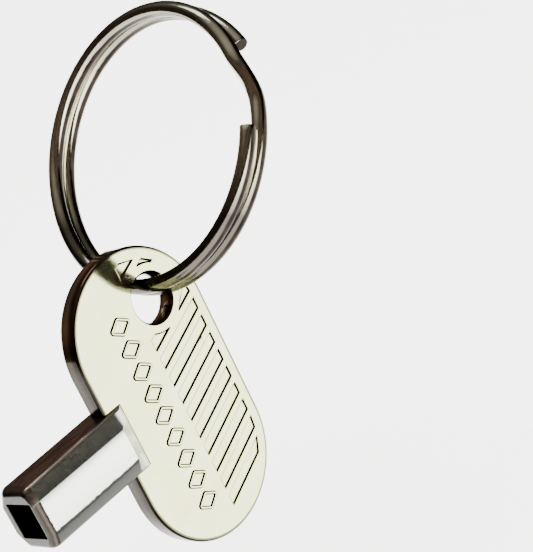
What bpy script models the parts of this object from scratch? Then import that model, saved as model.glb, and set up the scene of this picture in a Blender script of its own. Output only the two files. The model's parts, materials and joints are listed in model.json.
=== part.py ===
"""Radiator bleed key hanging from a split ring.

Two real pieces, each its own object:
  key_body    one zinc casting: an oblong tag with a socket barrel on its left edge
  split_ring  one spring wire wound into two turns, threaded through the tag's hole

The tag stands in the XZ plane with its long axis along Z and its front facing -Y.
The barrel points along -X, so its square socket is square to the axes.
The origin is the hang point: the middle of the ring's inner side, at the top of the ring.
All sizes are in metres.
"""

import math

import bmesh
import bpy
from mathutils import Matrix, Vector

# --- tag ---------------------------------------------------------------------------
TAG_LENGTH = 0.045
TAG_WIDTH = 0.025
TAG_THICKNESS = 0.003
TAG_EDGE_ROUND = 0.00035

# --- hanging hole in the tag ---------------------------------------------------------
HOLE_RADIUS = 0.0034
HOLE_RIM_FLARE = 0.0006
HOLE_FROM_TOP = 0.0089
HOLE_OFF_CENTRE = 0.0039

# --- striped relief on the right half of the face ----------------------------------------
STRIPE_PITCH = 0.0029
STRIPE_HEIGHT = 0.0017
STRIPE_SLOPE = math.radians(22.0)
STRIPE_DEPTH = 0.0002
STRIPE_START = 0.0004
STRIPE_MARGIN = 0.0019
STRIPE_HOLE_MARGIN = 0.0011
BAR_SPACING = 0.0008
SMALLEST_BAR = 0.8e-6

# --- socket barrel -----------------------------------------------------------------------
SOCKET_SIDE = 0.0052
SOCKET_DEPTH = 0.0120
BARREL_LENGTH = 0.0169
BARREL_DROP = 0.0005
BARREL_FRONT_WALL = 0.0006
BARREL_BACK_WALL = 0.0015
BARREL_SIDE_WALL_AT_MOUTH = 0.0020
BARREL_SIDE_WALL_AT_TAG = 0.0023
BARREL_FLAT_INSET = 0.00025
BARREL_FRONT_CHAMFER_AT_MOUTH = 0.0006
BARREL_FRONT_CHAMFER_AT_TAG = 0.0012
BARREL_BACK_CHAMFER = 0.0011
BARREL_CORNER_ROUND = 0.0007
BARREL_MOUTH_ROUND = 0.0014
BARREL_MOUTH_TURN = 0.00035
BARREL_MOUTH_CORNER = 0.0015
BARREL_MOUTH_WALL = 0.0002
BARREL_RAMP_LENGTH = 0.0027
BARREL_OVERLAP = 0.0033
BARREL_SINK = 0.6

# --- split ring -----------------------------------------------------------------------------
RING_MEAN_RADIUS = 0.01986
WIRE_RADIUS = 0.00112
TURN_GAP = 0.00006
RING_FIRST_END = math.radians(87.0)
RING_CROSSOVER_START = math.radians(55.0)
RING_CROSSOVER_END = math.radians(77.0)
RING_LAST_END = math.radians(51.0)
RING_END_SPRING = 0.0006
WIRE_SIDES = 12
RING_STEPS_PER_TURN = 60

# --- how the key hangs on the ring -------------------------------------------------------------
HANG_GAP = 0.0003
HANG_SLANT = math.radians(33.7)
RING_ROCK = math.radians(3.7)
RING_YAW = math.radians(3.3)
RIM_ROLL_RISE = 0.0020

# --- smoothness ---------------------------------------------------------------------------------
END_ARC_STEPS = 28
HOLE_STEPS = 40
ROUND_STEPS = 3
MOUTH_STEPS = 5
RAMP_STEPS = 6
SMOOTH_ANGLE = math.radians(32.0)

# --- values that follow from the sizes above ----------------------------------------------------
STRIPE_COUNT = int(TAG_LENGTH / STRIPE_PITCH)
STRIPE_LOWEST = STRIPE_START - TAG_LENGTH / 2
BARREL_REACH = TAG_WIDTH / 2 + BARREL_LENGTH
BARREL_FRONT_DEPTH = SOCKET_SIDE / 2 + BARREL_FRONT_WALL
BARREL_BACK_DEPTH = SOCKET_SIDE / 2 + BARREL_BACK_WALL
BARREL_MOUTH_RADIUS = SOCKET_SIDE / 2 + BARREL_MOUTH_CORNER
HOLE_CENTRE = Vector((HOLE_OFF_CENTRE, 0.0, TAG_LENGTH / 2 - HOLE_FROM_TOP))
TURN_OFFSET = WIRE_RADIUS + TURN_GAP / 2
WIRE_RISE = math.sqrt((HOLE_RADIUS - WIRE_RADIUS - HANG_GAP) ** 2 - TURN_OFFSET**2)
TAG_PLANE_UP = Vector((math.sin(HANG_SLANT), 0.0, math.cos(HANG_SLANT)))
ROCK_AXIS = Vector((-math.cos(HANG_SLANT), 0.0, math.sin(HANG_SLANT)))
RING_UP = Matrix.Rotation(-RING_ROCK, 3, ROCK_AXIS) @ TAG_PLANE_UP
RING_NORMAL = Matrix.Rotation(RING_YAW, 3, RING_UP) @ ROCK_AXIS
RING_FRONT = RING_UP.cross(RING_NORMAL)
RING_CENTRE = HOLE_CENTRE + RING_UP * (WIRE_RISE + RING_MEAN_RADIUS)
HANG_POINT = RING_CENTRE + RING_UP * (RING_MEAN_RADIUS - WIRE_RADIUS)
ROCK_PIVOT = HOLE_CENTRE + TAG_PLANE_UP * (HOLE_RADIUS + HOLE_RIM_FLARE + RIM_ROLL_RISE)


def clear_scene():
    for obj in list(bpy.data.objects):
        bpy.data.objects.remove(obj, do_unlink=True)


def metal(name, colour, roughness):
    material = bpy.data.materials.new(name)
    material.use_nodes = True
    shader = material.node_tree.nodes["Principled BSDF"]
    shader.inputs["Base Color"].default_value = (*colour, 1.0)
    shader.inputs["Roughness"].default_value = roughness
    shader.inputs["Metallic"].default_value = 1.0
    material.diffuse_color = (*colour, 1.0)
    return material


def new_object(name, bm, origin, material=None):
    """Make an object from tag coordinates, with its own origin at the given tag point."""
    bmesh.ops.translate(bm, verts=bm.verts, vec=-origin)
    bmesh.ops.recalc_face_normals(bm, faces=bm.faces)
    mesh = bpy.data.meshes.new(name)
    bm.to_mesh(mesh)
    bm.free()
    obj = bpy.data.objects.new(name, mesh)
    obj.location = origin - HANG_POINT
    bpy.context.scene.collection.objects.link(obj)
    if material:
        mesh.materials.append(material)
        mesh.shade_smooth()
        mesh.set_sharp_from_angle(angle=SMOOTH_ANGLE)
    return obj


def cutter(name, bm):
    obj = new_object(name, bm, ROCK_PIVOT)
    obj.hide_render = True
    obj.display_type = "WIRE"
    return obj


def boolean(target, tool, operation):
    modifier = target.modifiers.new(tool.name, "BOOLEAN")
    modifier.operation = operation
    modifier.solver = "EXACT"
    modifier.object = tool


def loft(sections):
    """Skin closed rings of equal point counts and cap both ends."""
    bm = bmesh.new()
    rings = [[bm.verts.new(point) for point in section] for section in sections]
    count = len(rings[0])
    for lower, upper in zip(rings, rings[1:]):
        for i in range(count):
            j = (i + 1) % count
            bm.faces.new((lower[i], lower[j], upper[j], upper[i]))
    bm.faces.new(reversed(rings[0]))
    bm.faces.new(rings[-1])
    return bm


def tag_outline(inset):
    """Oblong outline in the XZ plane: two straight sides joined by half circles."""
    radius = TAG_WIDTH / 2 - inset
    centre = (TAG_LENGTH - TAG_WIDTH) / 2
    points = []
    for end in (0, 1):
        height = -centre if end else centre
        for i in range(END_ARC_STEPS + 1):
            angle = math.pi * (i / END_ARC_STEPS + end)
            points.append((radius * math.cos(angle), height + radius * math.sin(angle)))
    return points


def tag_sections():
    """Outline rings from the front face to the back, with both edges rounded."""
    half = TAG_THICKNESS / 2
    profile = []
    for i in range(ROUND_STEPS + 1):
        angle = math.pi / 2 * i / ROUND_STEPS
        inset = TAG_EDGE_ROUND * (1 - math.sin(angle))
        profile.append((-half + TAG_EDGE_ROUND * (1 - math.cos(angle)), inset))
    profile += [(-y, inset) for y, inset in reversed(profile)]
    return [[(x, y, z) for x, z in tag_outline(inset)] for y, inset in profile]


def rounded_polygon(corners, radius):
    """Replace each corner of a convex polygon with a short arc."""
    points = []
    count = len(corners)
    for i, corner in enumerate(corners):
        here = Vector(corner)
        before = (Vector(corners[i - 1]) - here).normalized()
        after = (Vector(corners[(i + 1) % count]) - here).normalized()
        half_angle = before.angle(after) / 2
        reach = radius / math.tan(half_angle)
        centre = here + (before + after).normalized() * (radius / math.sin(half_angle))
        start = here + before * reach - centre
        end = here + after * reach - centre
        for step in range(ROUND_STEPS + 1):
            arm = start.lerp(end, step / ROUND_STEPS).normalized() * radius
            points.append(centre + arm)
    return points


def barrel_section(x, share):
    """Flattened octagon in the plane at x; share runs from 0 at the mouth to 1 at the tag."""
    side_wall = BARREL_SIDE_WALL_AT_MOUTH * (1 - share) + BARREL_SIDE_WALL_AT_TAG * share
    chamfer = BARREL_FRONT_CHAMFER_AT_MOUTH * (1 - share) + BARREL_FRONT_CHAMFER_AT_TAG * share
    half_width = SOCKET_SIDE / 2 + side_wall
    half_flat = SOCKET_SIDE / 2 - BARREL_FLAT_INSET
    front_shoulder = BARREL_FRONT_DEPTH - chamfer
    back_shoulder = BARREL_BACK_DEPTH - BARREL_BACK_CHAMFER
    corners = [
        (-BARREL_FRONT_DEPTH, half_flat),
        (-front_shoulder, half_width),
        (back_shoulder, half_width),
        (BARREL_BACK_DEPTH, half_flat),
        (BARREL_BACK_DEPTH, -half_flat),
        (back_shoulder, -half_width),
        (-front_shoulder, -half_width),
        (-BARREL_FRONT_DEPTH, -half_flat),
    ]
    shape = rounded_polygon(corners, BARREL_CORNER_ROUND)
    return [Vector((x, point.x, point.y)) for point in shape]


def turned_in(section, x, amount):
    """Draw a section in towards the round rim of the mouth; amount is 1 at the rim."""
    drawn = []
    for point in section:
        reach = math.hypot(point.y, point.z)
        half_socket = SOCKET_SIDE / 2
        to_socket = min(
            half_socket * reach / max(abs(point.y), 1e-9),
            half_socket * reach / max(abs(point.z), 1e-9),
        )
        rim = min(reach - BARREL_MOUTH_TURN, BARREL_MOUTH_RADIUS)
        rim = min(max(rim, to_socket + BARREL_MOUTH_WALL), reach)
        scale = 1 - amount * (1 - rim / reach)
        drawn.append(Vector((x, point.y * scale, point.z * scale)))
    return drawn


def barrel_sections():
    """Sections from the mouth to the foot, where the barrel ramps down into the tag."""
    mouth = -BARREL_REACH
    foot = -(TAG_WIDTH / 2 - BARREL_OVERLAP)
    ramp_top = foot - BARREL_RAMP_LENGTH
    full = mouth + BARREL_MOUTH_ROUND
    sections = []
    for i in range(MOUTH_STEPS + 1):
        angle = math.pi / 2 * i / MOUTH_STEPS
        x = mouth + BARREL_MOUTH_ROUND * (1 - math.cos(angle))
        sections.append(turned_in(barrel_section(x, 0.0), x, 1 - math.sin(angle)))
    half = TAG_THICKNESS / 2
    sunk = half * BARREL_SINK
    end_x = ramp_top + BARREL_RAMP_LENGTH * (BARREL_FRONT_DEPTH - sunk) / (BARREL_FRONT_DEPTH - half)
    for i in range(RAMP_STEPS + 1):
        down = i / RAMP_STEPS
        x = ramp_top + (end_x - ramp_top) * down
        share = min(1.0, (x - full) / (ramp_top - full))
        front = BARREL_FRONT_DEPTH + (sunk - BARREL_FRONT_DEPTH) * down
        back = BARREL_BACK_DEPTH + (sunk - BARREL_BACK_DEPTH) * down
        section = barrel_section(x, share)
        sections.append([Vector((x, max(-front, min(back, p.y)), p.z)) for p in section])
    return [[point - Vector((0.0, 0.0, BARREL_DROP)) for point in ring] for ring in sections]


def socket_box():
    """Square socket, open at the mouth."""
    bm = bmesh.new()
    clear = SOCKET_DEPTH * 0.1
    start = -BARREL_REACH - clear
    size = Vector((SOCKET_DEPTH + clear, SOCKET_SIDE, SOCKET_SIDE))
    centre = Vector((start + size.x / 2, 0.0, -BARREL_DROP))
    placed = Matrix.Translation(centre) @ Matrix.Diagonal((*size, 1.0))
    bmesh.ops.create_cube(bm, size=1.0, matrix=placed)
    return bm


def hole_spool():
    """Cutter for the hanging hole: narrowest at mid thickness, with a rounded rim each side."""
    half = TAG_THICKNESS / 2
    steps = 2 * ROUND_STEPS
    profile = []
    for i in range(-steps, steps + 1):
        angle = math.pi / 2 * i / steps
        radius = HOLE_RADIUS + HOLE_RIM_FLARE * (1 - math.cos(angle))
        profile.append((half * math.sin(angle), radius))
    clear = half * 0.3
    widest = HOLE_RADIUS + HOLE_RIM_FLARE
    profile = [(-half - clear, widest)] + profile + [(half + clear, widest)]
    sections = []
    for y, radius in profile:
        ring = []
        for i in range(HOLE_STEPS):
            angle = 2 * math.pi * i / HOLE_STEPS
            offset = Vector((radius * math.cos(angle), y, radius * math.sin(angle)))
            ring.append(HOLE_CENTRE + offset)
        sections.append(ring)
    return loft(sections)


def clip_to_field(points, field):
    """Clip a polygon to the region where a smooth field is positive."""
    kept = []
    for i, here in enumerate(points):
        before = points[i - 1]
        if (field(here) >= 0) != (field(before) >= 0):
            inner, outer = (here, before) if field(here) >= 0 else (before, here)
            for _ in range(30):
                middle = (inner + outer) / 2
                if field(middle) >= 0:
                    inner = middle
                else:
                    outer = middle
            kept.append(inner)
        if field(here) >= 0:
            kept.append(here)
    return kept


def dense(points):
    """Add points along long edges, so that a clip follows a curve closely."""
    filled = []
    for i, here in enumerate(points):
        before = points[i - 1]
        steps = max(1, round((here - before).length / BAR_SPACING))
        filled += [before.lerp(here, (k + 1) / steps) for k in range(steps)]
    return filled


def tidy_outline(points):
    """Drop points that are almost on top of each other."""
    kept = []
    for point in points:
        if not kept or (point - kept[-1]).length > BAR_SPACING / 4:
            kept.append(point)
    while len(kept) > 1 and (kept[0] - kept[-1]).length <= BAR_SPACING / 4:
        kept.pop()
    return kept


def inside_margin(point):
    """Distance from the relief's outer border, positive inside it."""
    straight = (TAG_LENGTH - TAG_WIDTH) / 2
    nearest = Vector((0.0, max(-straight, min(straight, point.y))))
    return TAG_WIDTH / 2 - STRIPE_MARGIN - (point - nearest).length


def clear_of_hole(point):
    """Distance from the hole's plain border, positive outside it."""
    centre = Vector((HOLE_CENTRE.x, HOLE_CENTRE.z))
    return (point - centre).length - HOLE_RADIUS - HOLE_RIM_FLARE - STRIPE_HOLE_MARGIN


def border_of_hole(point):
    """A point inside the hole's plain border, moved out onto the border."""
    centre = Vector((HOLE_CENTRE.x, HOLE_CENTRE.z))
    short = -clear_of_hole(point)
    return point + (point - centre).normalized() * short if short > 0 else point


def bar_parts(low):
    """One slanted bar inside the outer border, in one part, or in two beside the hole."""
    along = Vector((math.cos(STRIPE_SLOPE), math.sin(STRIPE_SLOPE)))
    up = Vector((0.0, STRIPE_HEIGHT))
    start = Vector((STRIPE_START, low))
    end = start + along * TAG_WIDTH
    shape = clip_to_field(dense([start, end, end + up, start + up]), inside_margin)
    bitten = [point for point in shape if clear_of_hole(point) < 0]
    if not bitten:
        return [shape]
    across = Vector((-along.y, along.x))
    middle = (start + up / 2).dot(across)
    above = any(point.dot(across) > middle for point in bitten)
    below = any(point.dot(across) < middle for point in bitten)
    sides = (-1, 1) if above and below else (0,)
    centre = Vector((HOLE_CENTRE.x, HOLE_CENTRE.z))
    parts = []
    for side in sides:
        part = clip_to_field(shape, lambda point: side * along.dot(point - centre))
        part = clip_to_field(dense(part), clear_of_hole)
        parts.append([border_of_hole(point) for point in dense(part)])
    return parts


def polygon_area(points):
    total = 0.0
    for i, here in enumerate(points):
        before = points[i - 1]
        total += before.x * here.y - here.x * before.y
    return abs(total) / 2


def stripe_outlines():
    """Outlines of all the bars, without the slivers left at the ends of the tag."""
    outlines = []
    for k in range(STRIPE_COUNT):
        for part in bar_parts(STRIPE_LOWEST + k * STRIPE_PITCH):
            part = tidy_outline(part)
            if polygon_area(part) > SMALLEST_BAR:
                outlines.append(part)
    return outlines


def stripe_cutters():
    """Shallow prisms that press the bars into the front face."""
    front = -TAG_THICKNESS / 2
    bm = bmesh.new()
    for outline in stripe_outlines():
        outer = [bm.verts.new((p.x, front - STRIPE_DEPTH, p.y)) for p in outline]
        inner = [bm.verts.new((p.x, front + STRIPE_DEPTH, p.y)) for p in outline]
        count = len(outline)
        for i in range(count):
            j = (i + 1) % count
            bm.faces.new((outer[i], outer[j], inner[j], inner[i]))
        bm.faces.new(reversed(outer))
        bm.faces.new(inner)
    return bm


def build_key_body(material):
    key = new_object("key_body", loft(tag_sections()), ROCK_PIVOT, material)
    boolean(key, cutter("barrel_solid", loft(barrel_sections())), "UNION")
    boolean(key, cutter("socket_cut", socket_box()), "DIFFERENCE")
    boolean(key, cutter("hole_cut", hole_spool()), "DIFFERENCE")
    boolean(key, cutter("stripe_cut", stripe_cutters()), "DIFFERENCE")
    return key


def ring_path():
    """Wire centre line: one turn, a crossover to the other side, and a second turn."""
    full = 2 * math.pi
    first = RING_FIRST_END
    cross_start = RING_CROSSOVER_START + full
    cross_end = RING_CROSSOVER_END + full
    last = RING_LAST_END + 2 * full
    steps = round((last - first) / full * RING_STEPS_PER_TURN)
    spring_span = math.radians(40.0)
    points = []
    for i in range(steps + 1):
        angle = first + (last - first) * i / steps
        share = (angle - cross_start) / (cross_end - cross_start)
        share = max(0.0, min(1.0, share))
        side = math.cos(math.pi * share)
        lift = max(0.0, (angle - (last - spring_span)) / spring_span)
        radius = RING_MEAN_RADIUS + RING_END_SPRING * lift**2
        arm = RING_UP * math.cos(angle) + RING_FRONT * math.sin(angle)
        points.append(RING_CENTRE + arm * radius + RING_NORMAL * (TURN_OFFSET * side))
    return points


def build_split_ring(material):
    path = ring_path()
    sections = []
    for i, point in enumerate(path):
        ahead = path[min(i + 1, len(path) - 1)]
        behind = path[max(i - 1, 0)]
        along = (ahead - behind).normalized()
        outward = (point - RING_CENTRE).normalized()
        across = along.cross(outward).normalized()
        outward = across.cross(along).normalized()
        ring = []
        for k in range(WIRE_SIDES):
            angle = 2 * math.pi * k / WIRE_SIDES
            arm = across * math.cos(angle) + outward * math.sin(angle)
            ring.append(point + arm * WIRE_RADIUS)
        sections.append(ring)
    return new_object("split_ring", loft(sections), RING_CENTRE, material)


def main():
    clear_scene()
    nickel = metal("nickel_plate", (0.83, 0.82, 0.74), 0.18)
    spring_steel = metal("plated_spring_steel", (0.72, 0.69, 0.63), 0.14)
    build_split_ring(spring_steel)
    build_key_body(nickel)


main()
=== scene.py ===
import json
import math

import bmesh
import bpy
from mathutils import Matrix, Vector


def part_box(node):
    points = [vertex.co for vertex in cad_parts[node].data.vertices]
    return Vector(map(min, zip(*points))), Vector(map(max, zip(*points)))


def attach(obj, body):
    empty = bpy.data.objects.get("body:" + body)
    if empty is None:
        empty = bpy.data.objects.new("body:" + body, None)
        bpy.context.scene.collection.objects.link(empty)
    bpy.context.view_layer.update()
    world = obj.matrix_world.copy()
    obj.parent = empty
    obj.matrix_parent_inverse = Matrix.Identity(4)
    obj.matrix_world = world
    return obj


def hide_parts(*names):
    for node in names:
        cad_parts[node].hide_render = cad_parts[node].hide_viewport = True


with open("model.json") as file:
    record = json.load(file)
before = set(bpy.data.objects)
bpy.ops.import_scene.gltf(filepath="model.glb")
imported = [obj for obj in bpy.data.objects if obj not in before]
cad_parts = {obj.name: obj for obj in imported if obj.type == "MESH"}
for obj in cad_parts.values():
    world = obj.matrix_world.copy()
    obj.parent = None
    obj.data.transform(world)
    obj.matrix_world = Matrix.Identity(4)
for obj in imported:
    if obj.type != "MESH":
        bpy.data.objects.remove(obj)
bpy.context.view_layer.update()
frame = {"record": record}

RECORD = frame["record"]
MOUNTS = {mount["name"]: Vector(mount["pos_m"]) for mount in RECORD["mounts"]}
ROCK = RECORD["behaviour"]["joints"][0]
KEY_LOW, KEY_HIGH = (Vector(corner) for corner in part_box("key_body"))

# --- tag, measured on the frame -------------------------------------------------------
TAG_LENGTH = KEY_HIGH.z - KEY_LOW.z
TAG_WIDTH = 0.025
TAG_THICKNESS = MOUNTS["tag_back"].y - MOUNTS["tag_front"].y
TAG_CENTRE = Vector((
    KEY_HIGH.x - TAG_WIDTH / 2,
    (MOUNTS["tag_back"].y + MOUNTS["tag_front"].y) / 2,
    (KEY_HIGH.z + KEY_LOW.z) / 2,
))
TAG_EDGE_ROUND = 0.0004

# --- hanging hole ---------------------------------------------------------------------
HOLE_RADIUS = 0.0034
HOLE_RIM_FLARE = 0.0006
HOLE_FROM_TOP = 0.0089
HOLE_OFF_CENTRE = 0.0039
HOLE_CENTRE = Vector((HOLE_OFF_CENTRE, 0.0, TAG_LENGTH / 2 - HOLE_FROM_TOP))

# --- pressed bars ---------------------------------------------------------------------
STRIPE_COUNT = 15
STRIPE_PITCH = 0.0029
STRIPE_HEIGHT = 0.0017
STRIPE_SLOPE = math.radians(22.0)
STRIPE_DEPTH = 0.00026
STRIPE_LOWEST = -0.0221
STRIPE_START = 0.0004
STRIPE_MARGIN = 0.0019
STRIPE_HOLE_MARGIN = 0.0011
BAR_SPACING = 0.0003
SMALLEST_BAR = 0.8e-6

# --- raised row of plain lozenges -----------------------------------------------------
LOZENGE_COUNT = 9
LOZENGE_X = -0.0034
LOZENGE_TOP = 0.0131
LOZENGE_PITCH = 0.0036
LOZENGE_HALF = (0.0023, 0.0015)
LOZENGE_BAND = 0.00042
LOZENGE_RAISE = 0.00022
LOZENGE_CORNER_ROUND = 0.00045
LOZENGE_LEAST_ROUND = 0.0001

# --- socket barrel --------------------------------------------------------------------
BARREL_REACH = TAG_CENTRE.x - KEY_LOW.x
BARREL_DROP = 0.0005
BARREL_FRONT_DEPTH = TAG_CENTRE.y - KEY_LOW.y
BARREL_BACK_DEPTH = KEY_HIGH.y - TAG_CENTRE.y
BARREL_WIDTH_AT_MOUTH = 0.0092
BARREL_WIDTH_AT_TAG = 0.0098
BARREL_FLAT_WIDTH = 0.0047
BARREL_FRONT_SHOULDER_AT_MOUTH = 0.0026
BARREL_FRONT_SHOULDER_AT_TAG = 0.0020
BARREL_BACK_SHOULDER = 0.0030
BARREL_CORNER_ROUND = 0.0007
BARREL_MOUTH_ROUND = 0.0014
BARREL_MOUTH_TURN = 0.00035
BARREL_MOUTH_RADIUS = 0.0041
BARREL_MOUTH_WALL = 0.0002
BARREL_RAMP_LENGTH = 0.0027
BARREL_OVERLAP = 0.0033
BARREL_SINK = 0.6
SOCKET_SIDE = 0.0052
SOCKET_DEPTH = 0.0120
SOCKET_LEAD_IN = 0.00009
SOCKET_CORNER_ROUND = 0.00022

# --- split ring -----------------------------------------------------------------------
RING_MEAN_RADIUS = 0.01986
WIRE_RADIUS = 0.00112
TURN_GAP = 0.00006
TURN_OFFSET = WIRE_RADIUS + TURN_GAP / 2
RING_FIRST_END = math.radians(87.0)
RING_CROSSOVER_START = math.radians(55.0)
RING_CROSSOVER_END = math.radians(77.0)
RING_LAST_END = math.radians(51.0)
RING_END_SPRING = 0.0006
RING_SPRING_SPAN = math.radians(40.0)
WIRE_END_ROUND = 0.00022
RING_ROCK = math.radians(3.7)
RING_YAW = math.radians(3.3)
ROCK_AXIS = Vector(ROCK["axis"])
TAG_PLANE_UP = Vector((ROCK_AXIS.z, 0.0, -ROCK_AXIS.x))
RING_UP = Matrix.Rotation(-RING_ROCK, 3, ROCK_AXIS) @ TAG_PLANE_UP
RING_NORMAL = Matrix.Rotation(RING_YAW, 3, RING_UP) @ ROCK_AXIS
RING_FRONT = RING_UP.cross(RING_NORMAL)
RING_CENTRE = MOUNTS["hang_point"] - RING_UP * (RING_MEAN_RADIUS - WIRE_RADIUS)

# --- smoothness -----------------------------------------------------------------------
END_ARC_STEPS = 72
CLIP_STEPS = 30
HOLE_STEPS = 96
ROUND_STEPS = 5
MOUTH_STEPS = 10
RAMP_STEPS = 14
WIRE_SIDES = 28
RING_STEPS_PER_TURN = 150
SMOOTH_ANGLE = math.radians(38.0)

# --- camera and stage -----------------------------------------------------------------
CAMERA_PLACE = Vector((-0.11038, -0.14843, 0.06342))
CAMERA_FORWARD = Vector((0.6517, 0.7050, -0.2796))
CAMERA_UP = Vector((0.4835, -0.1021, 0.8694))
FOCAL_PIXELS = 1365.5
FRAME_HEIGHT = 552
FLOOR_DROP = 0.022
FLOOR_REACH = 9.0
SUN_STRENGTH = 9.5
SUN_SPREAD = math.radians(70.0)

# --- painted reflection and shade areas of the casting --------------------------------
OUTLINE_BAND_OUTER = TAG_WIDTH / 2 - 0.00044
OUTLINE_BAND_INNER = TAG_WIDTH / 2 - 0.00062
BARREL_LEVEL_RANGE = 0.0050
MOUTH_LIP_LENGTH = 0.0015
MOUTH_LIP_FADE = (0.00128, 0.00140)


# --- mesh helpers ---------------------------------------------------------------------
def new_object(name, bm, origin=Vector()):
    bmesh.ops.recalc_face_normals(bm, faces=bm.faces)
    mesh = bpy.data.meshes.new(name)
    bm.to_mesh(mesh)
    bm.free()
    mesh.transform(Matrix.Translation(origin))
    obj = bpy.data.objects.new(name, mesh)
    bpy.context.scene.collection.objects.link(obj)
    return obj


def skin(bm, rings, closed=False):
    """Join rings of equal vertex counts; cap both ends unless the last joins the first."""
    count = len(rings[0])
    following = rings[1:] + rings[:1] if closed else rings[1:]
    for lower, upper in zip(rings, following):
        for i in range(count):
            j = (i + 1) % count
            bm.faces.new((lower[i], lower[j], upper[j], upper[i]))
    if not closed:
        bm.faces.new(reversed(rings[0]))
        bm.faces.new(rings[-1])


def loft(sections):
    bm = bmesh.new()
    skin(bm, [[bm.verts.new(point) for point in section] for section in sections])
    return bm


def boolean(target, tool, operation):
    """Combine two meshes for good and remove the tool."""
    modifier = target.modifiers.new("combine", "BOOLEAN")
    modifier.operation = operation
    modifier.solver = "EXACT"
    modifier.object = tool
    apply_modifiers(target)
    bpy.data.objects.remove(tool, do_unlink=True)


def apply_modifiers(obj):
    graph = bpy.context.evaluated_depsgraph_get()
    mesh = bpy.data.meshes.new_from_object(obj.evaluated_get(graph))
    obj.modifiers.clear()
    obj.data = mesh


def rounded_polygon(corners, radius, steps=ROUND_STEPS):
    """Replace each corner of a convex polygon with a short arc."""
    points = []
    count = len(corners)
    for i, corner in enumerate(corners):
        here = Vector(corner)
        before = (Vector(corners[i - 1]) - here).normalized()
        after = (Vector(corners[(i + 1) % count]) - here).normalized()
        half_angle = before.angle(after) / 2
        reach = radius / math.tan(half_angle)
        centre = here + (before + after).normalized() * (radius / math.sin(half_angle))
        start = here + before * reach - centre
        end = here + after * reach - centre
        for step in range(steps + 1):
            arm = start.lerp(end, step / steps).normalized() * radius
            points.append(centre + arm)
    return points


def offset_outline(points, distance):
    """Move an anticlockwise outline outwards by a distance, mitring its corners."""
    moved = []
    count = len(points)
    for i, here in enumerate(points):
        before = (here - points[i - 1]).normalized()
        after = (points[(i + 1) % count] - here).normalized()
        first = Vector((before.y, -before.x))
        second = Vector((after.y, -after.x))
        miter = first + second
        miter = miter / max(miter.dot(miter) / 2, 0.35)
        moved.append(here + miter * distance)
    return moved


def tidy_outline(points, least):
    """Drop points closer together than a least distance."""
    kept = []
    for point in points:
        if not kept or (point - kept[-1]).length > least:
            kept.append(point)
    while len(kept) > 1 and (kept[0] - kept[-1]).length <= least:
        kept.pop()
    return kept


# --- tag ------------------------------------------------------------------------------
def tag_outline(inset):
    radius = TAG_WIDTH / 2 - inset
    centre = (TAG_LENGTH - TAG_WIDTH) / 2
    points = []
    for end in (0, 1):
        height = -centre if end else centre
        for i in range(END_ARC_STEPS + 1):
            angle = math.pi * (i / END_ARC_STEPS + end)
            points.append((radius * math.cos(angle), height + radius * math.sin(angle)))
    return points


def tag_sections():
    half = TAG_THICKNESS / 2
    profile = []
    for i in range(ROUND_STEPS + 1):
        angle = math.pi / 2 * i / ROUND_STEPS
        inset = TAG_EDGE_ROUND * (1 - math.sin(angle))
        profile.append((-half + TAG_EDGE_ROUND * (1 - math.cos(angle)), inset))
    profile += [(-y, inset) for y, inset in reversed(profile)]
    return [[(x, y, z) for x, z in tag_outline(inset)] for y, inset in profile]


# --- barrel ---------------------------------------------------------------------------
def barrel_section(x, share):
    """Flattened octagon in the plane at x; share runs from 0 at the mouth to 1 at the tag."""
    half_width = BARREL_WIDTH_AT_MOUTH / 2 * (1 - share) + BARREL_WIDTH_AT_TAG / 2 * share
    front_shoulder = BARREL_FRONT_SHOULDER_AT_MOUTH * (1 - share)
    front_shoulder += BARREL_FRONT_SHOULDER_AT_TAG * share
    half_flat = BARREL_FLAT_WIDTH / 2
    corners = [
        (-BARREL_FRONT_DEPTH, half_flat),
        (-front_shoulder, half_width),
        (BARREL_BACK_SHOULDER, half_width),
        (BARREL_BACK_DEPTH, half_flat),
        (BARREL_BACK_DEPTH, -half_flat),
        (BARREL_BACK_SHOULDER, -half_width),
        (-front_shoulder, -half_width),
        (-BARREL_FRONT_DEPTH, -half_flat),
    ]
    shape = rounded_polygon(corners, BARREL_CORNER_ROUND)
    return [Vector((x, point.x, point.y)) for point in shape]


def turned_in(section, x, amount):
    """Draw a section in towards the round rim of the mouth; amount is 1 at the rim."""
    drawn = []
    half_socket = SOCKET_SIDE / 2
    for point in section:
        reach = math.hypot(point.y, point.z)
        to_socket = half_socket * reach / max(abs(point.y), abs(point.z))
        rim = min(reach - BARREL_MOUTH_TURN, BARREL_MOUTH_RADIUS)
        rim = min(max(rim, to_socket + BARREL_MOUTH_WALL), reach)
        scale = 1 - amount * (1 - rim / reach)
        drawn.append(Vector((x, point.y * scale, point.z * scale)))
    return drawn


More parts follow.
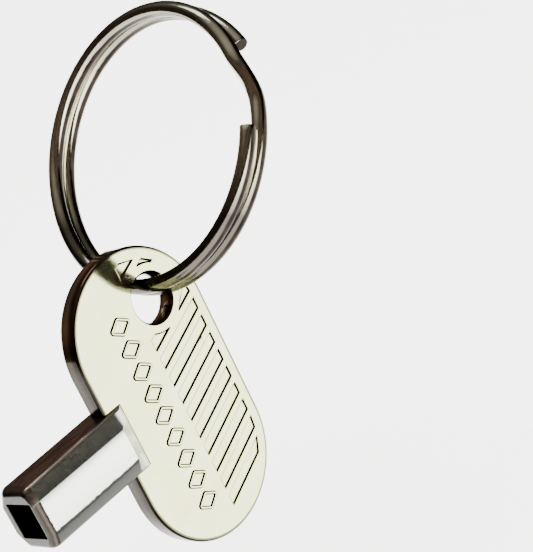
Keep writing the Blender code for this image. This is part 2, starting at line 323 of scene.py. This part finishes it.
def barrel_sections():
    """Sections from the mouth to the foot, where the barrel ramps down into the tag."""
    mouth = -BARREL_REACH
    foot = -(TAG_WIDTH / 2 - BARREL_OVERLAP)
    ramp_top = foot - BARREL_RAMP_LENGTH
    full = mouth + BARREL_MOUTH_ROUND
    sections = []
    for i in range(MOUTH_STEPS + 1):
        angle = math.pi / 2 * i / MOUTH_STEPS
        x = mouth + BARREL_MOUTH_ROUND * (1 - math.cos(angle))
        sections.append(turned_in(barrel_section(x, 0.0), x, 1 - math.sin(angle)))
    half = TAG_THICKNESS / 2
    sunk = half * BARREL_SINK
    slope = BARREL_RAMP_LENGTH / (BARREL_FRONT_DEPTH - half)
    end_x = ramp_top + slope * (BARREL_FRONT_DEPTH - sunk)
    for i in range(RAMP_STEPS + 1):
        down = i / RAMP_STEPS
        x = ramp_top + (end_x - ramp_top) * down
        share = min(1.0, (x - full) / (ramp_top - full))
        front = BARREL_FRONT_DEPTH + (sunk - BARREL_FRONT_DEPTH) * down
        back = BARREL_BACK_DEPTH + (sunk - BARREL_BACK_DEPTH) * down
        section = barrel_section(x, share)
        sections.append([Vector((x, max(-front, min(back, p.y)), p.z)) for p in section])
    return [[point - Vector((0.0, 0.0, BARREL_DROP)) for point in ring] for ring in sections]


def socket_sections():
    """Square socket with rounded inner corners and a chamfered mouth."""
    half = SOCKET_SIDE / 2
    mouth = -BARREL_REACH
    profile = [
        (mouth - SOCKET_LEAD_IN, half + 2 * SOCKET_LEAD_IN),
        (mouth + SOCKET_LEAD_IN, half),
        (mouth + SOCKET_DEPTH, half - SOCKET_LEAD_IN / 2),
    ]
    sections = []
    for x, reach in profile:
        corners = [(-reach, -reach), (reach, -reach), (reach, reach), (-reach, reach)]
        shape = rounded_polygon(corners, SOCKET_CORNER_ROUND, 3)
        sections.append([Vector((x, point.x, point.y - BARREL_DROP)) for point in shape])
    return sections


def hole_sections():
    """Hanging hole: narrowest at mid thickness, with a rounded rim each side."""
    half = TAG_THICKNESS / 2
    steps = 2 * ROUND_STEPS
    profile = []
    for i in range(-steps, steps + 1):
        angle = math.pi / 2 * i / steps
        radius = HOLE_RADIUS + HOLE_RIM_FLARE * (1 - math.cos(angle))
        profile.append((half * math.sin(angle), radius))
    widest = HOLE_RADIUS + HOLE_RIM_FLARE
    past_face = 1.3 * half
    profile = [(-past_face, widest)] + profile + [(past_face, widest)]
    sections = []
    for y, radius in profile:
        ring = []
        for i in range(HOLE_STEPS):
            angle = 2 * math.pi * i / HOLE_STEPS
            arm = Vector((radius * math.cos(angle), y, radius * math.sin(angle)))
            ring.append(HOLE_CENTRE + arm)
        sections.append(ring)
    return sections


# --- pressed bars ---------------------------------------------------------------------
def clip_to_field(points, field):
    """Clip a polygon to the region where a smooth field is positive."""
    kept = []
    for i, here in enumerate(points):
        before = points[i - 1]
        if (field(here) >= 0) != (field(before) >= 0):
            inner, outer = (here, before) if field(here) >= 0 else (before, here)
            for _ in range(CLIP_STEPS):
                middle = (inner + outer) / 2
                if field(middle) >= 0:
                    inner = middle
                else:
                    outer = middle
            kept.append(inner)
        if field(here) >= 0:
            kept.append(here)
    return kept


def inside_margin(point):
    straight = (TAG_LENGTH - TAG_WIDTH) / 2
    nearest = Vector((0.0, max(-straight, min(straight, point.y))))
    return TAG_WIDTH / 2 - STRIPE_MARGIN - (point - nearest).length


def clear_of_hole(point):
    centre = Vector((HOLE_CENTRE.x, HOLE_CENTRE.z))
    return (point - centre).length - HOLE_RADIUS - HOLE_RIM_FLARE - STRIPE_HOLE_MARGIN


def polygon_area(points):
    """Signed area, positive when the points run anticlockwise."""
    total = 0.0
    for i, here in enumerate(points):
        before = points[i - 1]
        total += before.x * here.y - here.x * before.y
    return total / 2


def dense(points, spacing):
    """Add points along long edges, so that a clip follows a curve closely."""
    filled = []
    for i, here in enumerate(points):
        before = points[i - 1]
        steps = max(1, round((here - before).length / spacing))
        filled += [before.lerp(here, (k + 1) / steps) for k in range(steps)]
    return filled


def border_of_hole(point):
    """A point inside the hole's plain border, moved out onto the border."""
    centre = Vector((HOLE_CENTRE.x, HOLE_CENTRE.z))
    short = -clear_of_hole(point)
    return point + (point - centre).normalized() * short if short > 0 else point


def bar_parts(low):
    """One slanted bar inside the outer border, in one part, or in two beside the hole."""
    along = Vector((math.cos(STRIPE_SLOPE), math.sin(STRIPE_SLOPE)))
    up = Vector((0.0, STRIPE_HEIGHT))
    start = Vector((STRIPE_START, low))
    end = start + along * TAG_WIDTH
    shape = clip_to_field(dense([start, end, end + up, start + up], BAR_SPACING), inside_margin)
    bitten = [point for point in shape if clear_of_hole(point) < 0]
    if not bitten:
        return [shape]
    across = Vector((-along.y, along.x))
    middle = (start + up / 2).dot(across)
    above = any(point.dot(across) > middle for point in bitten)
    below = any(point.dot(across) < middle for point in bitten)
    sides = (-1, 1) if above and below else (0,)
    centre = Vector((HOLE_CENTRE.x, HOLE_CENTRE.z))
    parts = []
    for side in sides:
        part = clip_to_field(shape, lambda point: side * along.dot(point - centre))
        part = clip_to_field(dense(part, BAR_SPACING), clear_of_hole)
        parts.append([border_of_hole(point) for point in dense(part, BAR_SPACING)])
    return parts


def stripe_outlines():
    outlines = []
    for k in range(STRIPE_COUNT):
        for part in bar_parts(STRIPE_LOWEST + k * STRIPE_PITCH):
            part = tidy_outline(part, BAR_SPACING / 3)
            area = polygon_area(part)
            if abs(area) > SMALLEST_BAR:
                outlines.append(part if area > 0 else list(reversed(part)))
    return outlines


def bar_cutters():
    """Shallow pockets with sloping walls, rounded at the top edge and at the floor."""
    front = -TAG_THICKNESS / 2
    profile = [
        (-0.5, 0.00015),
        (0.0, 0.00014),
        (0.14, 0.00006),
        (0.35, 0.00001),
        (0.8, -0.00008),
        (0.95, -0.00012),
        (1.0, -0.00019),
    ]
    bm = bmesh.new()
    for outline in stripe_outlines():
        rings = []
        for depth, grow in profile:
            y = front + STRIPE_DEPTH * depth
            rings.append([bm.verts.new((p.x, y, p.y)) for p in offset_outline(outline, grow)])
        skin(bm, rings)
    return bm


# --- raised lozenges ------------------------------------------------------------------
def lozenge_outline(grow):
    """Lozenge grown outwards by a distance, with its corners rounded to suit."""
    half_x, half_z = LOZENGE_HALF
    scale = 1 + grow * math.hypot(half_x, half_z) / (half_x * half_z)
    corners = [(half_x, 0.0), (0.0, half_z), (-half_x, 0.0), (0.0, -half_z)]
    corners = [(x * scale, z * scale) for x, z in corners]
    return rounded_polygon(corners, max(LOZENGE_LEAST_ROUND, LOZENGE_CORNER_ROUND + grow), 4)


def lozenge_rings():
    """Open lozenges with a rounded band, standing a little proud of the face."""
    front = -TAG_THICKNESS / 2
    profile = [
        (0.00030, 0.00007),
        (-0.00003, 0.00007),
        (-0.00012, 0.00002),
        (-0.00020, -0.00006),
        (-LOZENGE_RAISE, -0.00014),
        (-LOZENGE_RAISE, -LOZENGE_BAND + 0.00014),
        (-0.00020, -LOZENGE_BAND + 0.00006),
        (-0.00012, -LOZENGE_BAND - 0.00002),
        (-0.00003, -LOZENGE_BAND - 0.00007),
        (0.00030, -LOZENGE_BAND - 0.00007),
    ]
    bm = bmesh.new()
    for k in range(LOZENGE_COUNT):
        centre = Vector((LOZENGE_X, LOZENGE_TOP - k * LOZENGE_PITCH))
        rings = []
        for y, grow in profile:
            outline = [centre + point for point in lozenge_outline(grow)]
            rings.append([bm.verts.new((p.x, front + y, p.y)) for p in outline])
        skin(bm, rings, closed=True)
    return bm


def build_key(material):
    key = new_object("bleed_key_casting", loft(tag_sections()), TAG_CENTRE)
    boolean(key, new_object("barrel", loft(barrel_sections()), TAG_CENTRE), "UNION")
    boolean(key, new_object("socket", loft(socket_sections()), TAG_CENTRE), "DIFFERENCE")
    boolean(key, new_object("hole", loft(hole_sections()), TAG_CENTRE), "DIFFERENCE")
    boolean(key, new_object("bars", bar_cutters(), TAG_CENTRE), "DIFFERENCE")
    boolean(key, new_object("lozenges", lozenge_rings(), TAG_CENTRE), "UNION")
    finish_surface(key, material)
    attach(key, "key_body")
    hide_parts("key_body")


def finish_surface(obj, material):
    """Smooth shading that keeps flat faces flat and real edges sharp."""
    mesh = obj.data
    mesh.materials.clear()
    mesh.materials.append(material)
    mesh.shade_smooth()
    mesh.set_sharp_from_angle(angle=SMOOTH_ANGLE)
    modifier = obj.modifiers.new("weighted_normals", "WEIGHTED_NORMAL")
    modifier.keep_sharp = True
    modifier.weight = 100


# --- split ring -----------------------------------------------------------------------
def ring_path():
    """Wire centre line: one turn, a crossover to the other side, and a second turn."""
    full = 2 * math.pi
    cross_start = RING_CROSSOVER_START + full
    cross_end = RING_CROSSOVER_END + full
    last = RING_LAST_END + 2 * full
    steps = round((last - RING_FIRST_END) / full * RING_STEPS_PER_TURN)
    points = []
    for i in range(steps + 1):
        angle = RING_FIRST_END + (last - RING_FIRST_END) * i / steps
        share = max(0.0, min(1.0, (angle - cross_start) / (cross_end - cross_start)))
        side = math.cos(math.pi * share)
        lift = max(0.0, 1 - (last - angle) / RING_SPRING_SPAN)
        radius = RING_MEAN_RADIUS + RING_END_SPRING * lift**2
        arm = RING_UP * math.cos(angle) + RING_FRONT * math.sin(angle)
        points.append(RING_CENTRE + arm * radius + RING_NORMAL * (TURN_OFFSET * side))
    return points


def wire_section(point, along, radius):
    outward = (point - RING_CENTRE).normalized()
    across = along.cross(outward).normalized()
    outward = across.cross(along).normalized()
    ring = []
    for k in range(WIRE_SIDES):
        angle = 2 * math.pi * k / WIRE_SIDES
        ring.append(point + (across * math.cos(angle) + outward * math.sin(angle)) * radius)
    return ring


def wire_end(point, inward):
    """Sections from the face of a cut end to the full wire, rounding its edge."""
    sections = []
    for i in range(ROUND_STEPS):
        angle = math.pi / 2 * i / ROUND_STEPS
        place = point + inward * WIRE_END_ROUND * (1 - math.cos(angle) + 0.02)
        sections.append((place, WIRE_RADIUS - WIRE_END_ROUND * (1 - math.sin(angle))))
    return sections


def ring_sections():
    """Round sections along the wire, with a small round on the edge of each cut end."""
    path = ring_path()
    tangents = []
    for i in range(len(path)):
        ahead = path[min(i + 1, len(path) - 1)]
        behind = path[max(i - 1, 0)]
        tangents.append((ahead - behind).normalized())
    first = tangents[0]
    last = tangents[-1]
    skip = 1
    while (path[skip] - path[0]).length < WIRE_END_ROUND * 1.5:
        skip += 1
    sections = [wire_section(place, first, radius) for place, radius in wire_end(path[0], first)]
    for i in range(skip, len(path) - skip):
        sections.append(wire_section(path[i], tangents[i], WIRE_RADIUS))
    for place, radius in reversed(wire_end(path[-1], -last)):
        sections.append(wire_section(place, last, radius))
    return sections


def build_ring(material):
    ring = new_object("split_ring_wire", loft(ring_sections()))
    finish_surface(ring, material)
    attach(ring, "split_ring")
    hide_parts("split_ring")


# --- materials ------------------------------------------------------------------------
class Nodes:
    """Short calls for building a node tree."""

    def __init__(self, tree):
        self.tree = tree

    def add(self, kind, **settings):
        node = self.tree.nodes.new(kind)
        for name, value in settings.items():
            setattr(node, name, value)
        return node

    def join(self, source, target):
        self.tree.links.new(source, target)

    def noise(self, vector, scale, detail=4.0, roughness=0.55):
        node = self.add("ShaderNodeTexNoise")
        node.inputs["Scale"].default_value = scale
        node.inputs["Detail"].default_value = detail
        node.inputs["Roughness"].default_value = roughness
        self.join(vector, node.inputs["Vector"])
        return node.outputs["Fac"]

    def stretched(self, vector, scale):
        node = self.add("ShaderNodeMapping")
        node.inputs["Scale"].default_value = scale
        self.join(vector, node.inputs["Vector"])
        return node.outputs["Vector"]

    def ramp(self, factor, stops):
        node = self.add("ShaderNodeValToRGB")
        elements = node.color_ramp.elements
        while len(elements) < len(stops):
            elements.new(0.5)
        for element, (place, colour) in zip(elements, stops):
            element.position = place
            element.color = (*colour, 1.0)
        self.join(factor, node.inputs["Fac"])
        return node.outputs["Color"]

    def math(self, operation, first, second=0.0):
        node = self.add("ShaderNodeMath", operation=operation)
        for socket, value in zip(node.inputs, (first, second)):
            if isinstance(value, (int, float)):
                socket.default_value = value
            else:
                self.join(value, socket)
        return node.outputs["Value"]

    def mix(self, factor, first, second, blend="MIX"):
        node = self.add("ShaderNodeMix", data_type="RGBA", blend_type=blend)
        sockets = (node.inputs[0], node.inputs[6], node.inputs[7])
        for socket, value in zip(sockets, (factor, first, second)):
            if isinstance(value, (int, float)):
                socket.default_value = value
            elif isinstance(value, tuple):
                socket.default_value = (*value, 1.0)
            else:
                self.join(value, socket)
        return node.outputs[2]

    def swing(self, value, amount):
        """Turn a noise of 0 to 1 into a swing of half the amount to each side of zero."""
        return self.math("MULTIPLY", self.math("SUBTRACT", value, 0.5), amount)

    def map_range(self, value, low, high, to_low=0.0, to_high=1.0):
        node = self.add("ShaderNodeMapRange")
        names = ("From Min", "From Max", "To Min", "To Max")
        for name, number in zip(names, (low, high, to_low, to_high)):
            node.inputs[name].default_value = number
        self.join(value, node.inputs["Value"])
        return node.outputs["Result"]

    def between(self, value, low, high):
        """1 where a value lies between two limits, with hard edges."""
        above = self.math("GREATER_THAN", value, low)
        return self.math("MULTIPLY", above, self.math("LESS_THAN", value, high))

    def relative_to(self, vector, centre):
        node = self.add("ShaderNodeVectorMath", operation="SUBTRACT")
        self.join(vector, node.inputs[0])
        node.inputs[1].default_value = centre
        return node.outputs["Vector"]

    def along_axis(self, vector, axis):
        node = self.add("ShaderNodeVectorMath", operation="DOT_PRODUCT")
        self.join(vector, node.inputs[0])
        node.inputs[1].default_value = axis
        return node.outputs["Value"]

    def parts(self, vector):
        node = self.add("ShaderNodeSeparateXYZ")
        self.join(vector, node.inputs["Vector"])
        return node.outputs

    def bump(self, height, strength, distance, normal=None):
        node = self.add("ShaderNodeBump")
        node.inputs["Strength"].default_value = strength
        node.inputs["Distance"].default_value = distance
        self.join(height, node.inputs["Height"])
        if normal:
            self.join(normal, node.inputs["Normal"])
        return node.outputs["Normal"]


def metal_material(name):
    material = bpy.data.materials.new(name)
    material.use_nodes = True
    nodes = Nodes(material.node_tree)
    shader = material.node_tree.nodes["Principled BSDF"]
    shader.inputs["Metallic"].default_value = 1.0
    coordinates = nodes.add("ShaderNodeTexCoord").outputs
    return material, nodes, shader, coordinates


def rim_painted_reflection(nodes, depth, facing_up, streaks):
    """Painted reflection bands round the tag's edge, from its back to its front; painted shade
    where it faces down.
    """
    across = nodes.map_range(depth, TAG_THICKNESS / 2, -TAG_THICKNESS / 2)
    across = nodes.math("ADD", across, nodes.swing(streaks, 0.35))
    bands = nodes.ramp(
        across,
        [
            (0.00, (0.10, 0.08, 0.07)),
            (0.15, (0.55, 0.50, 0.42)),
            (0.45, (0.90, 0.82, 0.70)),
            (0.62, (0.40, 0.32, 0.26)),
            (0.78, (0.12, 0.09, 0.07)),
            (1.00, (0.08, 0.06, 0.05)),
        ],
    )
    # painted light and shade: the edge is lighter where it faces up and near black where it faces
    # down
    upper = nodes.map_range(facing_up, 0.22, 0.42)
    tint = nodes.mix(upper, (0.042, 0.036, 0.029), (0.80, 0.66, 0.54))
    return nodes.mix(1.0, bands, tint, "MULTIPLY")


def painted_outline_band(nodes, position):
    """Strength of a thin band of painted reflection just inside the tag's outline."""
    straight = (TAG_LENGTH - TAG_WIDTH) / 2
    past = nodes.math("SUBTRACT", nodes.math("ABSOLUTE", position["Z"]), straight)
    past = nodes.math("MAXIMUM", past, 0.0)
    along = nodes.math("MULTIPLY", past, past)
    across = nodes.math("MULTIPLY", position["X"], position["X"])
    reach = nodes.math("SQRT", nodes.math("ADD", along, across))
    return nodes.map_range(reach, OUTLINE_BAND_INNER, OUTLINE_BAND_OUTER, 0.0, 0.85)


def barrel_painted_reflection(nodes, position, normal, grain, streaks):
    """Painted reflections on the satin casting: bright front, dark chamfers, brown sides, and a
    grey mouth.
    """
    # painted reflection by height: dark below, a thin near-black line, a bright front band, then
    # mid grey above
    height = nodes.math("ADD", position["Z"], BARREL_DROP)
    height = nodes.math("ADD", height, nodes.swing(grain, 0.0006))
    front = nodes.ramp(
        nodes.map_range(height, -BARREL_LEVEL_RANGE, BARREL_LEVEL_RANGE),
        [
            (0.00, (0.030, 0.030, 0.028)),
            (0.08, (0.055, 0.055, 0.050)),
            (0.20, (0.040, 0.040, 0.037)),
            (0.225, (0.012, 0.012, 0.012)),
            (0.255, (0.016, 0.016, 0.016)),
            (0.275, (0.78, 0.78, 0.70)),
            (0.50, (0.90, 0.90, 0.84)),
            (0.64, (0.86, 0.86, 0.78)),
            (0.70, (0.52, 0.53, 0.47)),
            (0.735, (0.27, 0.30, 0.27)),
            (1.00, (0.48, 0.53, 0.47)),
        ],
    )
    brown = nodes.ramp(
        streaks,
        [
            (0.30, (0.250, 0.200, 0.170)),
            (0.46, (0.360, 0.265, 0.220)),
            (0.56, (0.560, 0.450, 0.390)),
            (0.66, (0.300, 0.225, 0.190)),
        ],
    )
    # painted reflection: brown streaks where the barrel faces up
    top = nodes.map_range(normal["Z"], 0.70, 0.85)
    colour = nodes.mix(top, front, brown)
    mouth_x = -BARREL_REACH
    # painted shade and reflection: dark bands round the rim of the mouth, browner where it faces
    # up
    along = nodes.math("ADD", position["X"], nodes.swing(grain, 0.0004))
    lip = nodes.ramp(
        nodes.map_range(along, mouth_x, mouth_x + MOUTH_LIP_LENGTH),
        [
            (0.00, (0.055, 0.050, 0.042)),
            (0.30, (0.028, 0.024, 0.020)),
            (0.55, (0.070, 0.060, 0.050)),
            (0.75, (0.012, 0.010, 0.009)),
            (1.00, (0.016, 0.013, 0.012)),
        ],
    )
    lip = nodes.mix(nodes.map_range(normal["Z"], 0.05, 0.20), lip, (0.24, 0.20, 0.17))
    fade_start, fade_end = MOUTH_LIP_FADE
    near_mouth = nodes.map_range(along, mouth_x + fade_end, mouth_x + fade_start)
    colour = nodes.mix(near_mouth, colour, lip)
    # painted shade: the mouth face, facing out along the barrel, is near black
    outward = nodes.map_range(normal["X"], -0.45, -0.80)
    mouth = nodes.ramp(grain, [(0.30, (0.018, 0.017, 0.015)), (0.70, (0.055, 0.052, 0.045))])
    return nodes.mix(outward, colour, mouth)


def nickel_material():
    """Bright plated casting: cream faces, painted reflections on the edges and barrel, satin
    barrel, painted shade in the socket.
    """
    material, nodes, shader, coordinates = metal_material("nickel_plate")
    place = nodes.relative_to(coordinates["Object"], TAG_CENTRE)
    position = nodes.parts(place)
    normal = nodes.parts(coordinates["Normal"])

    edge = -TAG_WIDTH / 2
    half = TAG_THICKNESS / 2
    depth = nodes.math("ABSOLUTE", position["Y"])
    barrel = nodes.map_range(position["X"], edge + 0.0002, edge - 0.0004)
    proud = nodes.map_range(depth, half + 0.00005, half + 0.00010)
    left = nodes.math("LESS_THAN", position["X"], edge + BARREL_OVERLAP + BARREL_RAMP_LENGTH)
    barrel = nodes.math("MAXIMUM", barrel, nodes.math("MULTIPLY", proud, left))

    blotches = nodes.noise(place, 160.0, 3.0)
    grain = nodes.noise(nodes.stretched(place, (0.5, 1.0, 1.0)), 2100.0, 5.0, 0.65)
    streaks = nodes.noise(nodes.stretched(place, (0.10, 1.0, 1.0)), 1500.0, 3.0)
    bands = nodes.noise(place, 260.0, 3.0)

    face = nodes.ramp(blotches, [(0.30, (0.66, 0.69, 0.34)), (0.70, (0.76, 0.78, 0.45))])
    # painted reflection: where the surface turns away from the faces, the rim's painted bands
    # replace the face colour
    turned = nodes.map_range(nodes.math("ABSOLUTE", normal["Y"]), 0.992, 0.945)
    rim = nodes.math("MAXIMUM", turned, painted_outline_band(nodes, position))
    tag = nodes.mix(rim, face, rim_painted_reflection(nodes, position["Y"], normal["Z"], bands))
    shown = nodes.mix(barrel, tag, barrel_painted_reflection(nodes, position, normal, grain, streaks))
    # painted reflection on the ramp into the tag: light, with painted dark lines at its foot and
    # crest
    sloping = nodes.math("MULTIPLY", nodes.map_range(normal["X"], 0.20, 0.35), barrel)
    ramp = nodes.ramp(
        nodes.map_range(depth, half, BARREL_FRONT_DEPTH),
        [
            (0.11, (0.030, 0.030, 0.024)),
            (0.17, (0.54, 0.56, 0.46)),
            (0.86, (0.60, 0.62, 0.52)),
            (0.93, (0.090, 0.090, 0.080)),
        ],
    )
    shown = nodes.mix(sloping, shown, ramp)
    # painted shade: the inside of the socket is near black
    limit = SOCKET_SIDE / 2 + 0.00003
    height = nodes.math("ADD", position["Z"], BARREL_DROP)
    inside = nodes.between(position["Y"], -limit, limit)
    inside = nodes.math("MULTIPLY", inside, nodes.between(height, -limit, limit))
    deep = nodes.math("LESS_THAN", position["X"], -BARREL_REACH + SOCKET_DEPTH + 0.0002)
    shown = nodes.mix(nodes.math("MULTIPLY", inside, deep), shown, (0.008, 0.008, 0.007))
    nodes.join(shown, shader.inputs["Base Color"])

    haze = nodes.noise(place, 700.0, 4.0)
    face_gloss = nodes.map_range(haze, 0.3, 0.7, 0.07, 0.11)
    barrel_gloss = nodes.map_range(grain, 0.3, 0.7, 0.24, 0.26)
    gloss = nodes.add("ShaderNodeMix", data_type="FLOAT")
    nodes.join(barrel, gloss.inputs[0])
    nodes.join(face_gloss, gloss.inputs[2])
    nodes.join(barrel_gloss, gloss.inputs[3])
    nodes.join(gloss.outputs[0], shader.inputs["Roughness"])
    ripple = nodes.bump(nodes.noise(place, 420.0, 2.0), 0.04, 0.0003)
    pits = nodes.math("MULTIPLY", grain, barrel)
    nodes.join(nodes.bump(pits, 0.015, 0.00003, ripple), shader.inputs["Normal"])
    return material


def spring_steel_material():
    """Plated wire: bright on its flat sides; painted dark reflections inside, outside, above and
    below.
    """
    material, nodes, shader, coordinates = metal_material("plated_spring_steel")
    place = coordinates["Object"]
    blotches = nodes.noise(place, 240.0, 4.0)
    bright = nodes.ramp(blotches, [(0.30, (0.68, 0.65, 0.48)), (0.72, (0.87, 0.84, 0.69))])
    # painted reflection: near-black bands where the wire faces in or out, varied at random
    dark_band_variation = nodes.noise(place, 420.0, 4.0)
    dark = nodes.ramp(dark_band_variation, [(0.30, (0.008, 0.006, 0.005)), (0.70, (0.026, 0.019, 0.015))])
    # painted reflection: the wire is darker near the top and bottom of the ring
    up = nodes.along_axis(nodes.relative_to(place, RING_CENTRE), RING_UP)
    painted_dark_top_bottom = nodes.math(
        "MAXIMUM",
        nodes.map_range(up, -0.15 * RING_MEAN_RADIUS, -0.55 * RING_MEAN_RADIUS, 0.0, 0.92),
        nodes.map_range(up, 0.35 * RING_MEAN_RADIUS, 0.85 * RING_MEAN_RADIUS, 0.0, 0.75),
    )
    bright = nodes.mix(painted_dark_top_bottom, bright, (0.026, 0.022, 0.018))
    # painted reflection: bright only where the wire faces along the ring's axis
    flat = nodes.math("ABSOLUTE", nodes.along_axis(coordinates["Normal"], RING_NORMAL))
    wander = nodes.swing(nodes.noise(place, 130.0, 3.0), 0.35)
    side = nodes.map_range(nodes.math("ADD", flat, wander), 0.50, 0.32)
    nodes.join(nodes.mix(side, bright, dark), shader.inputs["Base Color"])
    haze = nodes.noise(place, 1500.0, 4.0)
    nodes.join(nodes.map_range(haze, 0.3, 0.7, 0.10, 0.17), shader.inputs["Roughness"])
    nodes.join(nodes.bump(nodes.noise(place, 900.0, 3.0), 0.10, 0.00010), shader.inputs["Normal"])
    return material


def floor_material():
    material = bpy.data.materials.new("pale_floor")
    material.use_nodes = True
    shader = material.node_tree.nodes["Principled BSDF"]
    shader.inputs["Base Color"].default_value = (0.92, 0.92, 0.91, 1.0)
    shader.inputs["Roughness"].default_value = 0.9
    shader.inputs["Specular IOR Level"].default_value = 0.1
    return material


# --- stage ----------------------------------------------------------------------------
def build_floor():
    bm = bmesh.new()
    bmesh.ops.create_circle(bm, cap_ends=True, segments=64, radius=FLOOR_REACH)
    below = Vector((TAG_CENTRE.x, TAG_CENTRE.y, KEY_LOW.z - FLOOR_DROP))
    floor = new_object("floor", bm, below)
    floor.data.materials.append(floor_material())
    if floor.data.polygons[0].normal.z < 0:
        floor.data.flip_normals()


def build_world():
    """Dark warm room above the horizon for the metal to mirror; pale where seen directly."""
    world = bpy.data.worlds.new("studio")
    bpy.context.scene.world = world
    world.use_nodes = True
    nodes = Nodes(world.node_tree)
    world.node_tree.nodes.clear()
    room = nodes.ramp(
        nodes.parts(nodes.add("ShaderNodeTexCoord").outputs["Generated"])["Z"],
        [
            (0.00, (0.070, 0.055, 0.045)),
            (0.16, (0.030, 0.022, 0.018)),
            (0.42, (0.110, 0.070, 0.050)),
            (0.62, (0.060, 0.050, 0.045)),
            (1.00, (0.550, 0.500, 0.440)),
        ],
    )
    mirrored = nodes.add("ShaderNodeBackground")
    nodes.join(room, mirrored.inputs["Color"])
    seen = nodes.add("ShaderNodeBackground")
    seen.inputs["Color"].default_value = (5.0, 5.0, 4.95, 1.0)
    switch = nodes.add("ShaderNodeMixShader")
    nodes.join(nodes.add("ShaderNodeLightPath").outputs["Is Camera Ray"], switch.inputs[0])
    nodes.join(mirrored.outputs[0], switch.inputs[1])
    nodes.join(seen.outputs[0], switch.inputs[2])
    nodes.join(switch.outputs[0], nodes.add("ShaderNodeOutputWorld").inputs["Surface"])


def build_sun(name, direction):
    """Soft overhead light for the floor; the metal doesn't mirror it."""
    data = bpy.data.lights.new(name, "SUN")
    data.energy = SUN_STRENGTH
    data.angle = SUN_SPREAD
    obj = bpy.data.objects.new(name, data)
    bpy.context.scene.collection.objects.link(obj)
    obj.rotation_euler = Vector(direction).to_track_quat("-Z", "Y").to_euler()
    obj.visible_glossy = False


def build_softbox(name, place, size, power):
    data = bpy.data.lights.new(name, "AREA")
    data.shape = "RECTANGLE"
    data.size, data.size_y = size
    data.energy = power
    obj = bpy.data.objects.new(name, data)
    bpy.context.scene.collection.objects.link(obj)
    obj.location = TAG_CENTRE + Vector(place)
    obj.rotation_euler = (TAG_CENTRE - obj.location).to_track_quat("-Z", "Y").to_euler()


def build_camera():
    data = bpy.data.cameras.new("camera")
    obj = bpy.data.objects.new("camera", data)
    bpy.context.scene.collection.objects.link(obj)
    back = -CAMERA_FORWARD.normalized()
    up = (CAMERA_UP - back * CAMERA_UP.dot(back)).normalized()
    rotation = Matrix((up.cross(back), up, back)).transposed().to_4x4()
    obj.matrix_world = Matrix.Translation(TAG_CENTRE + CAMERA_PLACE) @ rotation
    data.sensor_fit = "VERTICAL"
    data.angle = 2 * math.atan(FRAME_HEIGHT / 2 / FOCAL_PIXELS)
    data.clip_start = 0.01
    bpy.context.scene.camera = obj


build_camera()
build_world()
build_sun("sun_left", (0.5, 0.3, -1.0))
build_sun("sun_right", (-0.4, 0.2, -1.0))
build_softbox("softbox_top", (0.10, 0.15, 0.60), (0.30, 0.12), 1.2)
build_floor()
build_key(nickel_material())
build_ring(spring_steel_material())
